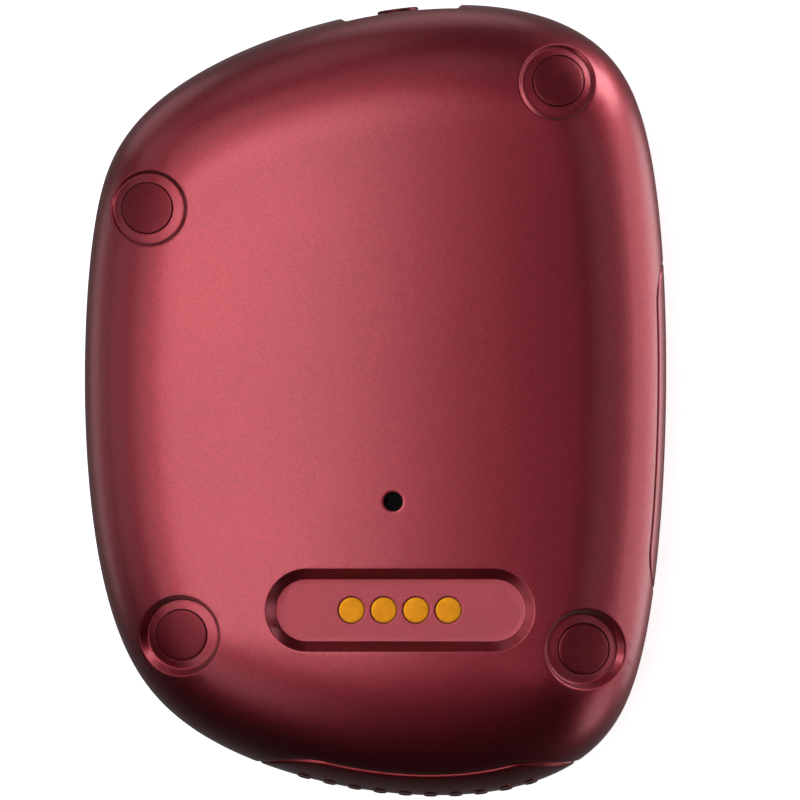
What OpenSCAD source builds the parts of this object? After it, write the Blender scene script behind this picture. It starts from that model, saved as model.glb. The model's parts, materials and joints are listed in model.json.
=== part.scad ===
// Palm-size tracker: a pebble-shaped housing with a power button in a thumb
// recess at the top, a rocker key along the right side, a press key with a
// dotted grip along the bottom, and a magnetic charging dock in its back.
// +Z points out of the back, +Y to the top edge, and it lies on its front at z = 0.

/* [Body] */
// Overall width across the palm
body_w = 46; // [45:0.5:47]
// Overall thickness from the front face to the crown of the back
body_t = 17.2; // [17:0.1:18]
// Height of the widest line above the front face
mid_z = 8.4; // [8.2:0.1:8.6]
// Wall thickness of both covers
wall = 1.6; // [1.4:0.1:1.7]
// Height of the line where the two covers meet
part_z = 2.6; // [2.4:0.1:2.7]
// Fall of the back from its middle to its left and right edges
crown_drop = 2.4; // [2:0.1:2.6]
// Squareness of the edge rounding, where 2 is an ellipse
edge_power = 2.3; // [2:0.1:2.5]
// Width of the edge rounding along the two sides
side_round = 7; // [6.5:0.1:7.5]
// Width of the edge rounding along the top
top_round = 9.5; // [9:0.1:10]
// Width of the edge rounding along the bottom
bottom_round = 12; // [11:0.1:12.5]
// Width of the edge rounding all round the front
front_round = 7.4; // [7:0.1:8]

/* [Outline radii] */
// Radius of the right side
right_r = 166; // [150:1:180]
// Radius of the upper right corner
upper_right_r = 9.5; // [9:0.1:10]
// Radius of the top
top_r = 47; // [45:1:50]
// Radius of the upper left corner
upper_left_r = 11.8; // [11:0.1:12.5]
// Radius of the left side
left_r = 107; // [100:1:115]
// Radius of the lower left corner
lower_left_r = 14.1; // [13.5:0.1:14.8]
// Radius of the bottom
bottom_r = 43; // [40:1:46]
// Radius of the lower right corner
lower_right_r = 10.1; // [9.6:0.1:10.6]

/* [Keys] */
// Diameter of the power button
button_d = 3.25; // [3:0.05:3.6]
// Length of the thumb recess round the power button
recess_w = 9.65; // [9:0.05:10]
// Depth of the thumb recess
recess_depth = 0.32; // [0.25:0.01:0.35]
// Distance from the power button to the middle of the thumb recess, to the right
recess_shift = 0.25; // [0:0.05:0.4]
// Length of the rocker key
rocker_len = 25.7; // [25:0.1:26]
// Height of the rocker key
rocker_h = 6.4; // [6:0.1:6.6]
// Length of the grip key
grip_len = 25.1; // [24.5:0.1:25.3]
// Height of the grip key
grip_h = 10; // [9.6:0.1:10]
// Spacing of the grip dots
dot_pitch = 2; // [1.9:0.05:2.1]
// Gap round each key
key_gap = 0.12; // [0.1:0.01:0.14]

/* [Back features] */
// Spacing of the charging contacts
contact_pitch = 2.54; // [2.5:0.01:2.6]
// Diameter of each charging contact
contact_d = 2.04; // [1.9:0.01:2.1]
// Length of the dock recess at the surface
dock_len = 21.2; // [21:0.1:21.6]
// Width of the dock recess at the surface
dock_w = 6.5; // [6.3:0.1:6.7]
// Depth of the dock recess
dock_depth = 1.1; // [1:0.05:1.4]
// Diameter of the microphone hole
mic_d = 1.5; // [1.2:0.1:1.6]
// Diameter of the screw plugs
plug_d = 4; // [3.9:0.1:4.2]
// Diameter of the flat floor round each plug
pocket_d = 5.5; // [5.3:0.1:5.6]

/* [Hidden] */
$fn = 48;

// ---- outline: a closed curve whose radius changes smoothly between eight stretches ----
// Each stretch: the direction it faces, and its radius
stretches = [[-1, right_r], [39, upper_right_r], [105, top_r], [153, upper_left_r],
    [179, left_r], [220, lower_left_r], [258, bottom_r], [322, lower_right_r]];
last = len(stretches) - 1;
fine = 720;
fine_step = 360 / fine;
function lap(a) = a - 360 * floor((a - stretches[0][0]) / 360);
function stretch_of(a) = max([for (k = [0:last]) if (stretches[k][0] <= a) k]);
function next_dir(k) = k < last ? stretches[k + 1][0] : stretches[0][0] + 360;
function bend_r(a) =
    let (b = lap(a), k = stretch_of(b),
         w = (1 - cos(180 * (b - stretches[k][0]) / (next_dir(k) - stretches[k][0]))) / 2)
    1 / ((1 - w) / stretches[k][1] + w / stretches[(k + 1) % (last + 1)][1]);
function total(v) = [for (s = 0, i = 0; i <= len(v); s = s + (i < len(v) ? v[i] : 0), i = i + 1) s][len(v)];
fine_dir = [for (i = [0:fine - 1]) (i + 0.5) * fine_step];
open_r = [for (a = fine_dir) bend_r(a)];
open_x = 2 * total([for (i = [0:fine - 1]) open_r[i] * cos(fine_dir[i])]) / fine;
open_y = 2 * total([for (i = [0:fine - 1]) open_r[i] * sin(fine_dir[i])]) / fine;
// The small correction that closes the curve
closed_r = [for (i = [0:fine - 1]) open_r[i] - open_x * cos(fine_dir[i]) - open_y * sin(fine_dir[i])];
step_len = [for (r = closed_r) r * fine_step * PI / 180];
walk = [for (i = 0, p = [0, 0]; i <= fine;
    p = i < fine ? p + step_len[i] * [-sin(fine_dir[i]), cos(fine_dir[i])] : p, i = i + 1) p];
walk_x = [for (p = walk) p[0]];
walk_y = [for (p = walk) p[1]];
walk_mid = [max(walk_x) + min(walk_x), max(walk_y) + min(walk_y)] / 2;
walk_k = body_w / (max(walk_x) - min(walk_x));
edge = [for (p = walk) walk_k * (p - walk_mid)];
arc = [for (i = 0, s = 0; i <= fine; s = s + (i < fine ? walk_k * step_len[i] : 0), i = i + 1) s];
arc_x = [for (i = [0:fine]) [arc[i], edge[i][0]]];
arc_y = [for (i = [0:fine]) [arc[i], edge[i][1]]];
arc_dir = [for (i = [0:fine]) [arc[i], i * fine_step]];
// Evenly spaced stations round the outline: x, y and the direction that the wall faces
around = 96;
stations = [for (j = [0:around - 1]) let (s = j * arc[fine] / around)
    [lookup(s, arc_x), lookup(s, arc_y), lookup(s, arc_dir)]];
function facing(a) = edge[round((a - 360 * floor(a / 360)) / fine_step)];

// ---- body surface ----
crown_x = body_w / 2;
function crown(x) = body_t - crown_drop * pow(x / crown_x, 2);
function back_round(a) = side_round + (top_round - side_round) * pow(max(0, sin(a)), 4)
    + (bottom_round - side_round) * pow(max(0, -sin(a)), 4);
function bulge(t) = pow(max(0, t), 2 / edge_power);
// One point of the surface sunk by "sink": t runs from 0 at the widest line to 90 at the flat
function back_point(s, t, sink) =
    let (d = sink + (back_round(s[2]) - sink) * (1 - bulge(cos(t))),
         x = s[0] - d * cos(s[2]), y = s[1] - d * sin(s[2]))
    [x, y, mid_z + (crown(x) - sink - mid_z) * bulge(sin(t))];
function front_point(s, t, sink) =
    let (d = sink + (front_round - sink) * (1 - bulge(cos(t))))
    [s[0] - d * cos(s[2]), s[1] - d * sin(s[2]), mid_z - (mid_z - sink) * bulge(sin(t))];
function inner_ring(f, sink) = [for (s = stations) let (p = back_point(s, 90, sink))
    [f * p[0], f * p[1], crown(f * p[0]) - sink]];
front_angles = [90, 75, 60, 45, 30, 15];
back_angles = [0:9:90];
function front_rings(sink) = [for (t = front_angles) [for (s = stations) front_point(s, t, sink)]];
function back_rings(sink) = [for (t = back_angles) [for (s = stations) back_point(s, t, sink)],
    inner_ring(0.68, sink), inner_ring(0.34, sink)];
// The whole body, or only the dish below the widest line
module pebble(sink) skin(concat(front_rings(sink), back_rings(sink)), crown(0) - sink);
module dish(sink) skin(concat(front_rings(sink), [back_rings(sink)[0]]), mid_z);
// Closed skin over a stack of rings, flat below and drawn to a middle point above
module skin(rings, top_z) {
    top = len(rings) - 1;
    count = around;
    points = [for (r = rings) for (p = r) p, [0, 0, top_z]];
    faces = [
        [for (j = [0:count - 1]) j],
        for (k = [0:top - 1]) for (j = [0:count - 1]) let (n = (j + 1) % count)
            [k * count + j, (k + 1) * count + n, k * count + n],
        for (k = [0:top - 1]) for (j = [0:count - 1]) let (n = (j + 1) % count)
            [k * count + j, (k + 1) * count + j, (k + 1) * count + n],
        for (j = [0:count - 1]) [top * count + j, len(points) - 1, top * count + (j + 1) % count]];
    polyhedron(points = points, faces = faces);
}
module inset_outline(d) polygon([for (s = stations) [s[0] - d * cos(s[2]), s[1] - d * sin(s[2])]]);
module rim_band(d_out, d_in, low, high) translate([0, 0, low]) linear_extrude(high - low) difference() {
    inset_outline(d_out);
    inset_outline(d_in);
}

// ---- plug sites: the surface height and its slope under each plug ----
function gap_to(i, x, y) = norm([edge[i][0] - x, edge[i][1] - y]);
function back_height(x, y) =
    let (gaps = [for (i = [0:fine - 1]) gap_to(i, x, y)], d = min(gaps),
         near = search(d, gaps)[0], a = back_round(near * fine_step), u = max(0, 1 - d / a))
    mid_z + (crown(x) - mid_z) * pow(1 - pow(u, edge_power), 1 / edge_power);
probe = 0.8;
function site(x, y, depth) =
    let (gx = (back_height(x + probe, y) - back_height(x - probe, y)) / (2 * probe),
         gy = (back_height(x, y + probe) - back_height(x, y - probe)) / (2 * probe))
    [[x, y, back_height(x, y)], atan(norm([gx, gy])), atan2(-gy, -gx), depth];
sites = [site(14.5, 25.2, 0.6), site(-18.1, 15.1, 0.6), site(-15.4, -18.6, 0.9),
    site(16.6, -19.6, 0.9)];
pocket_lean = 21;
plug_h = 1.25;
head_d = 3.2;
head_h = 1.2;
shank_d = 1.7;
shank_len = 6;
// Depths of the stack below each pocket floor
head_low = plug_h + 0.2 + head_h;
boss_low = head_low + 1.5;
module at_site(k) translate(sites[k][0]) rotate([0, sites[k][1], sites[k][2]])
    translate([0, 0, -sites[k][3]]) children();

// ---- dock ----
dock = [1.95, -16.55];
dock_floor = crown(dock[0]) - dock_depth;
dock_slope = 0.78;
dock_block_low = dock_floor - 2;
magnet_d = 5;
magnet_h = 1.5;
magnet_x = 7.4;
carrier_h = 1;
module stadium(l, w) {
    for (x = [-1, 1]) translate([x * (l - w) / 2, 0]) circle(d = w);
    square([l - w, w], center = true);
}
// Straight-sided cut with sloping ends and sides that meets the surface at its full size
module dock_cut() {
    above = 1.2;
    grow = 2 * dock_slope * (dock_depth + above) / dock_depth;
    run = dock_len - dock_w;
    floor_w = dock_w - 2 * dock_slope;
    for (x = [-1, 1]) translate([x * run / 2, 0, 0])
        cylinder(h = dock_depth + above, d1 = floor_w, d2 = floor_w + grow);
    rotate([90, 0, 90]) translate([0, 0, -run / 2]) linear_extrude(run)
        polygon([[-floor_w / 2, 0], [floor_w / 2, 0], [(floor_w + grow) / 2, dock_depth + above],
            [-(floor_w + grow) / 2, dock_depth + above]]);
}
module at_contacts() for (k = [-1.5:1:1.5]) translate([dock[0] + k * contact_pitch, dock[1], 0]) children();
module contact(k) color("goldenrod") translate([dock[0] + (k - 2.5) * contact_pitch, dock[1], 0]) {
    translate([0, 0, dock_block_low]) cylinder(h = 2 - 0.1, d = contact_d);
    translate([0, 0, dock_floor - 0.1]) cylinder(h = 0.1, d1 = contact_d, d2 = contact_d - 0.2);
    translate([0, 0, dock_block_low - carrier_h]) cylinder(h = carrier_h, d = 1.2);
}

// ---- keys ----
top_dir = 97.2;
top_at = facing(top_dir);
top_at_r = bend_r(top_dir);
button_clear = 0.06;
rocker_y = -2.05;
rocker_in = 20.7;
pin = [20, rocker_y];
pin_d = 1;
lug_h = 2.9;
switch_reach = 8;
grip_x = 3.35;
grip_in = -27;
grip_reach = 6;
grip_pocket = 1.6;
tab_y = -25.4;
tab_l = 3.6;
hook_out = 0.35;
module from_top() translate([top_at[0], top_at[1], mid_z]) rotate([0, 0, top_dir - 90]) children();
module rocker_window(grow) translate([18, rocker_y, mid_z]) rotate([90, 0, 90])
    linear_extrude(10) stadium(rocker_len + 2 * grow, rocker_h + 2 * grow);
module grip_window(grow, deep) translate([grip_x, deep, mid_z]) rotate([90, 0, 0])
    linear_extrude(20) stadium(grip_len + 2 * grow, grip_h + 2 * grow);

// ---- board stack ----
board_z = 6.4;
board_t = 0.8;
board_top = board_z + board_t;
board_inset = 4.4;
board_low_y = -25.8;
board_posts = [[-14, -6], [14.3, -2], [-3.5, 23.4]];
post_d = 3.4;
board_screw_d = 1.2;
switch_size = [4, 2.8, 1.6];
can_h = 1.8;
can_top = board_top + can_h;
pad_h = 0.4;
cell_z = can_top + pad_h;
cell = [26, 24.5, 5];
cell_mid = [1.5, 7.25];
speaker_at = [1.95, -9];
speaker_d = 18;
mesh_h = 0.15;
gasket_h = 0.6;
speaker_z = wall + mesh_h + gasket_h;
speaker_h = 3.3;
grille_d = 1.1;
grille_ring = 2.3;
led_at = [13.4, 9.4];
pipe_d = 2.4;
mic_at = [1.4, -8];
mic_h = 1.1;
mic_top = crown(mic_at[0]) - wall - 0.1;
motor_at = [-12, 5.4];
patch_at = [0, 13.5];
module block(mid, size, low) translate([mid[0] - size[0] / 2, mid[1] - size[1] / 2, low]) cube(size);
// Small push switch on the board, its plunger towards local +Y
module push_switch(plunger) {
    block([0, 0], switch_size, board_top);
    translate([0, switch_size[1] / 2 - 0.1, mid_z]) rotate([-90, 0, 0]) cylinder(h = plunger + 0.1, d = 0.9);
}

// ---- covers ----
module rear_cover() color("#7d2a33") {
    difference() {
        pebble(0);
        pebble(wall);
        translate([-50, -50, -10]) cube([100, 100, 10 + part_z]);
        rocker_window(key_gap);
        grip_window(key_gap, -24);
        thumb_recess();
        from_top() rotate([90, 0, 0]) cylinder(h = 6, d = button_d + 2 * button_clear, center = true);
        for (k = [0:3]) site_bores(k);
        dock_openings();
        translate([mic_at[0], mic_at[1], mic_top - 1]) cylinder(h = 4, d = mic_d);
    }
    difference() {
        for (k = [0:3]) at_site(k) translate([0, 0, -boss_low])
            cylinder(h = boss_low + sites[k][3] - 1.3, d = 5.8);
        for (k = [0:3]) site_bores(k);
    }
    difference() {
        translate([dock[0], dock[1], dock_block_low]) linear_extrude(1.9) stadium(dock_len + 1, dock_w + 1);
        dock_openings();
    }
    rocker_ear(mid_z + lug_h / 2 + 0.1, mid_z + 5, 1);
    rocker_ear(mid_z - 5, mid_z - lug_h / 2 - 0.1, -1);
}
// Shallow scoop with sloping ends: above a floor that runs parallel to the top edge
module thumb_recess() from_top() translate([0, 0, -3.6]) linear_extrude(7.2) difference() {
    floor_end = recess_w / 2 - recess_depth;
    rim_end = recess_w / 2 + 1;
    translate([recess_shift, 0]) polygon([[-floor_end, -recess_depth - 0.3], [floor_end, -recess_depth - 0.3],
        [floor_end, -recess_depth], [rim_end, 1], [-rim_end, 1], [-floor_end, -recess_depth]]);
    translate([0, -top_at_r]) circle(r = top_at_r - recess_depth, $fn = 200);
}
module site_bores(k) at_site(k) {
    lean = tan(pocket_lean);
    cylinder(h = 3, d1 = pocket_d, d2 = pocket_d + 6 * lean);
    translate([0, 0, -plug_h - 0.02]) cylinder(h = 3, d = plug_d + 0.2);
    translate([0, 0, -head_low]) cylinder(h = head_low, d = head_d + 0.3);
    translate([0, 0, -boss_low - 1]) cylinder(h = boss_low, d = shank_d + 0.3);
}
module dock_openings() {
    translate([dock[0], dock[1], dock_floor]) dock_cut();
    at_contacts() translate([0, 0, dock_block_low - 1]) cylinder(h = 4, d = contact_d + 0.06);
    for (x = [-1, 1]) translate([dock[0] + x * magnet_x, dock[1], dock_block_low - 1])
        cylinder(h = 1 + magnet_h, d = magnet_d + 0.1);
}
module rocker_ear(low, high, up) difference() {
    union() {
        translate([pin[0] - 0.95, pin[1] - 1.3, low]) cube([1.4, 2.6, high - low]);
        translate([pin[0] - 0.95, pin[1] - 1.3, up > 0 ? high - 1.3 : low]) cube([2.3, 2.6, 1.3]);
    }
    translate([pin[0], pin[1], low - 1]) cylinder(h = high - low + 2, d = pin_d + 0.02);
}
lip_out = 3.8;
lip_in = 5.3;
seal_out = 4;
seal_in = 4.6;
lip_top = part_z + 0.5;
module front_cover() color("#6d242c") {
    difference() {
        dish(0);
        dish(wall);
        translate([-50, -50, part_z]) cube([100, 100, 40]);
        grille();
        translate([led_at[0], led_at[1], -1]) cylinder(h = 4, d = pipe_d + 0.1);
    }
    rim_band(lip_out, lip_in, wall - 0.3, part_z);
    rim_band(seal_in, lip_in, part_z - 0.1, lip_top);
    difference() {
        union() {
            for (k = [0:3]) cover_post(k);
            for (p = board_posts) translate([p[0], p[1], wall - 0.5])
                cylinder(h = board_z - wall + 0.5, d = post_d);
        }
        for (k = [0:3]) at_site(k) translate([0, 0, -head_low - shank_len - 0.5])
            cylinder(h = shank_len + 0.5, d = shank_d);
        for (p = board_posts) translate([p[0], p[1], board_z - 2.5]) cylinder(h = 3, d = board_screw_d);
    }
}
// Leaning post under each cover screw, cut off level inside the floor
module cover_post(k) intersection() {
    at_site(k) rotate(25) translate([0, 0, -boss_low - 12]) cylinder(h = 12 - 0.05, d = 4.6);
    translate([-40, -40, wall - 0.7]) cube([80, 80, 20]);
}
module grille() for (ring = [0:2]) for (k = [0:max(0, 6 * ring - 1)])
    translate([speaker_at[0], speaker_at[1], -1]) rotate(ring == 0 ? 0 : k * 60 / ring)
        translate([ring * grille_ring, 0, 0]) cylinder(h = 4, d = grille_d, $fn = 24);
module cover_seal() color("#303030") rim_band(seal_out, seal_in, part_z, part_z + 0.4);

// ---- fixings ----
module screw_plug(k) color("#5a1f26") at_site(k) {
    translate([0, 0, -plug_h]) cylinder(h = plug_h + 0.05, d = plug_d);
    translate([0, 0, 0.05]) cylinder(h = 0.15, d1 = plug_d, d2 = plug_d - 0.35);
}
module screw_plug_upper_right() screw_plug(0);
module screw_plug_upper_left() screw_plug(1);
module screw_plug_lower_left() screw_plug(2);
module screw_plug_lower_right() screw_plug(3);
module cover_screws() color("silver") for (k = [0:3]) at_site(k) difference() {
    union() {
        translate([0, 0, -head_low]) cylinder(h = head_h, d = head_d);
        translate([0, 0, -head_low - shank_len]) cylinder(h = shank_len + 0.1, d = shank_d);
    }
    translate([0, 0, -head_low + head_h - 0.7]) cylinder(h = 1, d = 1.5, $fn = 6);
}
module board_screws() color("silver") for (p = board_posts) translate([p[0], p[1], board_top]) difference() {
    union() {
        cylinder(h = 0.7, d = 2.6);
        translate([0, 0, -board_t - 2]) cylinder(h = board_t + 2.1, d = board_screw_d);
    }
    translate([0, 0, 0.3]) cylinder(h = 1, d = 1.1, $fn = 6);
}

// ---- dock parts ----
module charge_contact_1() contact(1);
module charge_contact_2() contact(2);
module charge_contact_3() contact(3);
module charge_contact_4() contact(4);
module contact_carrier() color("#202020") difference() {
    block(dock, [12.4, 5.4, carrier_h], dock_block_low - carrier_h);
    at_contacts() translate([0, 0, dock_block_low - 2]) cylinder(h = 3, d = 1.26);
}
module dock_magnets() color("gainsboro") for (x = [-1, 1])
    translate([dock[0] + x * magnet_x, dock[1], dock_block_low]) cylinder(h = magnet_h, d = magnet_d);
flex_t = 0.2;
flex_high = dock_block_low - carrier_h;
flex_y = -11.2;
// Ribbon that runs under the carrier and down to its connector on the board
module dock_flex() color("#b06a20") translate([dock[0] - 4, 0, 0]) rotate([90, 0, 90]) linear_extrude(8)
    polygon([[dock[1] - 2, flex_high - flex_t], [flex_y - flex_t, flex_high - flex_t],
        [flex_y - flex_t, board_top + 1], [flex_y, board_top + 1], [flex_y, flex_high],
        [dock[1] - 2, flex_high]]);

// ---- keys and switches ----
module top_button() color("#6d242c") from_top() rotate([90, 0, 0]) {
    translate([0, 0, 0.15]) cylinder(h = 2.3, d = button_d);
    cylinder(h = 0.15, d1 = button_d - 0.4, d2 = button_d);
    translate([0, 0, 2]) cylinder(h = 0.6, d = button_d + 1.4);
    translate([0, 0, 2.5]) cylinder(h = 0.7, d = 1.8);
}
top_switch_gap = 3.5;
module top_switch() color("#d8d8d8") from_top()
    translate([0, -top_switch_gap - 0.5 - switch_size[1] / 2, -mid_z]) push_switch(0.5);
module side_rocker() color("#7d2a33") difference() {
    union() {
        intersection() {
            pebble(0);
            rocker_window(0);
            translate([rocker_in, -40, 0]) cube([10, 80, 20]);
        }
        translate([pin[0], pin[1] - 0.9, mid_z - lug_h / 2]) cube([rocker_in - pin[0] + 0.2, 1.8, lug_h]);
        translate([pin[0], pin[1], mid_z - lug_h / 2]) cylinder(h = lug_h, d = 1.8);
        for (y = [-1, 1]) translate([rocker_in - 0.75, rocker_y + y * switch_reach, mid_z])
            rotate([0, 90, 0]) cylinder(h = 1, d = 1.8);
    }
    translate([pin[0], pin[1], 0]) cylinder(h = 20, d = pin_d + 0.08);
}
module rocker_pin() color("silver") translate([pin[0], pin[1], mid_z - 3.1]) cylinder(h = 6.2, d = pin_d);
module side_switches() color("#d8d8d8") for (y = [-1, 1])
    translate([rocker_in - 1.05 - 0.65 - switch_size[1] / 2, rocker_y + y * switch_reach, 0])
        rotate(-90) push_switch(0.65);
module grip_key() color("#8a2f39") {
    difference() {
        intersection() {
            pebble(0);
            grip_window(0, grip_in);
        }
        translate([grip_x, grip_in + 1, mid_z]) rotate([90, 0, 0]) linear_extrude(1 + grip_pocket)
            stadium(16, 5);
    }
    for (x = [-1, 1]) translate([grip_x + x * grip_reach, grip_in + 0.3, mid_z])
        rotate([90, 0, 0]) cylinder(h = 3, d = 2);
    for (x = [0, 1]) translate([grip_x, 0, mid_z - 0.4]) mirror([x, 0, 0]) retaining_tab();
    grip_dots();
}
// Hook at each end that stops the key at the inside of the wall
module retaining_tab() {
    reach = grip_len / 2 + hook_out - tab_l;
    translate([reach, tab_y, 0]) cube([tab_l, 0.8, 3]);
    translate([reach, grip_in - 0.5, 0]) cube([0.9, tab_y - grip_in + 1.3, 3]);
}
// Round dots in three rows of ten over the key, standing a little proud
dot_d = 1.1;
module grip_dots() for (row = [-1:1]) for (k = [-4.5:1:4.5]) {
    x = grip_x + k * dot_pitch;
    z = mid_z + row * dot_pitch;
    translate([x, grip_face(x, z) + 0.45, z]) rotate([90, 0, 0]) cylinder(h = 0.6, d = dot_d, $fn = 24);
}
function grip_face(x, z) =
    let (i = round(arc_at(x) / fine_step), u = pow(abs(z - mid_z) / (crown(x) - mid_z), edge_power))
    edge[i][1] + back_round(i * fine_step) * (1 - pow(1 - u, 1 / edge_power));
// Direction that the bottom edge faces at a given x
bottom_dirs = [for (i = [210 / fine_step : 330 / fine_step]) [edge[i][0], i * fine_step]];
function arc_at(x) = lookup(x, bottom_dirs);
module grip_switches() color("#d8d8d8") for (x = [-1, 1])
    translate([grip_x + x * grip_reach, grip_in + 0.9 + 0.5 + switch_size[1] / 2, 0])
        rotate(180) push_switch(0.5);

// ---- board and what it carries ----
module main_board() color("darkgreen") difference() {
    intersection() {
        translate([0, 0, board_z]) linear_extrude(board_t) inset_outline(board_inset);
        translate([-40, board_low_y, 0]) cube([80, 80, 20]);
    }
    for (k = [0:3]) at_site(k) {
        translate([0, 0, -14]) cylinder(h = 14, d = 6);
        translate([0, -3, -14]) cube([9, 6, 14]);
    }
    for (p = board_posts) translate([p[0], p[1], 0]) cylinder(h = 10, d = board_screw_d + 0.3);
}
module board_connectors() color("ivory") {
    block([dock[0], flex_y - flex_t / 2], [9, 2.2, 1], board_top);
    block([-9, -6.6], [4.4, 2.6, 1.2], board_top);
}
module shield_can() color("silver") difference() {
    block([2, 9], [16, 13, can_h], board_top);
    block([2, 9], [15.6, 12.6, can_h - 0.2], board_top - 0.01);
}
module board_chips() color("#1c1c1c") {
    block([2, 9], [7, 7, 0.9], board_top);
    block([-9, 6], [4, 5, 1], board_top);
    block([-6, -18], [5, 4, 1.1], board_top);
    block([7.4, -19], [4, 3, 0.9], board_top);
    block([-8, 15], [3, 3, 0.9], board_top);
}
module radio_antenna() color("white") block([-7.5, 20], [6, 2, 1.2], board_top);
module gnss_antenna() color("wheat") {
    block(patch_at, [14, 14, 3], board_z - 3);
    block(patch_at, [11, 11, 0.15], board_z - 3.1);
}
module battery_pad() color("#404040") block([2, 9], [15, 12, pad_h], can_top);
module battery_cell() color("lightsteelblue") translate([0, 0, cell_z]) linear_extrude(cell[2]) {
    translate([cell_mid[0] - cell[0] / 2 + 1, cell_mid[1] - cell[1] / 2]) square([cell[0] - 2, cell[1]]);
    translate([cell_mid[0] - cell[0] / 2, cell_mid[1] - cell[1] / 2 + 1]) square([cell[0], cell[1] - 2]);
    for (x = [-1, 1]) for (y = [-1, 1])
        translate([cell_mid[0] + x * (cell[0] / 2 - 1), cell_mid[1] + y * (cell[1] / 2 - 1)]) circle(r = 1);
}
tab_out = cell_mid[1] - cell[1] / 2;
// Flat lead from the end of the cell to its connector
module battery_tab() color("#b06a20") translate([-11, 0, 0]) rotate([90, 0, 90]) linear_extrude(4)
    polygon([[tab_out, cell_z + 2.2], [-6.7, cell_z + 2.2], [-6.7, board_top + 1.2], [-6.5, board_top + 1.2],
        [-6.5, cell_z + 2], [tab_out, cell_z + 2]]);
module microphone() color("#c9a24a") difference() {
    block(mic_at, [3.2, 4, mic_h], board_top);
    translate([mic_at[0], mic_at[1], board_top + 0.4]) cylinder(h = 2, d = 0.8);
}
boot_low = board_top + mic_h;
module mic_boot() color("#202020") translate([mic_at[0], mic_at[1], boot_low]) difference() {
    cylinder(h = mic_top - boot_low - 0.15, d = 4);
    translate([0, 0, -1]) cylinder(h = 10, d = mic_d);
}
module mic_mesh() color("#101010") translate([mic_at[0], mic_at[1], mic_top - 0.15])
    cylinder(h = 0.12, d = 3.4);
module speaker() color("#2a2a2a") translate([speaker_at[0], speaker_at[1], speaker_z]) {
    cylinder(h = 2, d = speaker_d);
    cylinder(h = speaker_h, d = 13);
}
module speaker_gasket() color("#303030") translate([speaker_at[0], speaker_at[1], wall + mesh_h]) difference() {
    cylinder(h = gasket_h, d = speaker_d);
    translate([0, 0, -1]) cylinder(h = 3, d = speaker_d - 3);
}
module speaker_mesh() color("#101010") translate([speaker_at[0], speaker_at[1], wall])
    cylinder(h = mesh_h, d = speaker_d - 1);
module speaker_contacts() color("goldenrod") for (x = [-1, 1])
    translate([speaker_at[0] + x * 3, speaker_at[1], speaker_z + speaker_h])
        cylinder(h = board_z - speaker_z - speaker_h, d = 1.2);
module vibration_motor() color("silver") translate([motor_at[0], motor_at[1], board_z - 2.8])
    cylinder(h = 2.8, d = 8);
module status_led() color("lightyellow") block(led_at, [1.6, 1.6, 0.7], board_z - 0.7);
module light_pipe() color("white") translate([led_at[0], led_at[1], 0.15]) {
    cylinder(h = board_z - 0.9 - 0.15, d = pipe_d);
    translate([0, 0, wall - 0.15]) cylinder(h = 0.6, d = pipe_d + 1.4);
}

rear_cover();
front_cover();
cover_seal();
screw_plug_upper_right();
screw_plug_upper_left();
screw_plug_lower_left();
screw_plug_lower_right();
cover_screws();
charge_contact_1();
charge_contact_2();
charge_contact_3();
charge_contact_4();
contact_carrier();
dock_magnets();
dock_flex();
top_button();
top_switch();
side_rocker();
rocker_pin();
side_switches();
grip_key();
grip_switches();
main_board();
board_screws();
board_connectors();
shield_can();
board_chips();
radio_antenna();
gnss_antenna();
battery_cell();
battery_pad();
battery_tab();
microphone();
mic_boot();
mic_mesh();
speaker();
speaker_gasket();
speaker_mesh();
speaker_contacts();
vibration_motor();
status_led();
light_pipe();
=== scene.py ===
import json
import math

import bmesh
import bpy
import numpy as np
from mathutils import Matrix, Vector
from mathutils.geometry import delaunay_2d_cdt


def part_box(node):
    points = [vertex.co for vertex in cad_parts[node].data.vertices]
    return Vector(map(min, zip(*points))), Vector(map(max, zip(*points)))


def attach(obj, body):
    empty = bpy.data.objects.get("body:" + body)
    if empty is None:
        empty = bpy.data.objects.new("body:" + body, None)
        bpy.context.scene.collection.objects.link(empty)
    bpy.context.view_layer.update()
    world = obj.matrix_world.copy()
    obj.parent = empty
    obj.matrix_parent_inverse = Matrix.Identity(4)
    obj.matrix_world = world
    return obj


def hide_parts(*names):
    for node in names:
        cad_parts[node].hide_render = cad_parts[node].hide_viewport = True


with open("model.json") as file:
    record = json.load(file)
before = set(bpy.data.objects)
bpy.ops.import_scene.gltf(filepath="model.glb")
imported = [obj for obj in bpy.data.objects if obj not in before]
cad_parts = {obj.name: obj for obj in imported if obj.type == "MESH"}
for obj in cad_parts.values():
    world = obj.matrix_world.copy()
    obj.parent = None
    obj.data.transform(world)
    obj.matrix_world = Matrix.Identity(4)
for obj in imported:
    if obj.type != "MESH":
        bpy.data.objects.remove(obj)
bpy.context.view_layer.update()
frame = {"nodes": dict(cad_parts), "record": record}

# ---------------------------------------------------------------------------
# Driving sizes in millimetres, the same as the housing's own design. Only the plugs' sizes differ, by
# 0.02 mm, and their places, by 0.2 mm at most: here they follow the photograph more closely.
# ---------------------------------------------------------------------------
MM = 0.001
X_WAY, Y_WAY, Z_WAY = np.eye(3)
BODY_W = 46.0
BODY_T = 17.2
MID_Z = 8.4
WALL = 1.6
PART_Z = 2.6
PART_GAP = 0.05
CROWN_DROP = 2.4
EDGE_POWER = 2.3
SIDE_ROUND, TOP_ROUND, BOTTOM_ROUND, FRONT_ROUND = 7.0, 9.5, 12.0, 7.4
# Each stretch of the outline: the direction it faces in degrees, and its radius. Measured by fitting
# this curve to the photograph's silhouette, then rounded.
STRETCHES = ((-1, 166.0), (39, 9.5), (105, 47.0), (153, 11.8),
             (179, 107.0), (220, 14.1), (258, 43.0), (322, 10.1))

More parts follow.
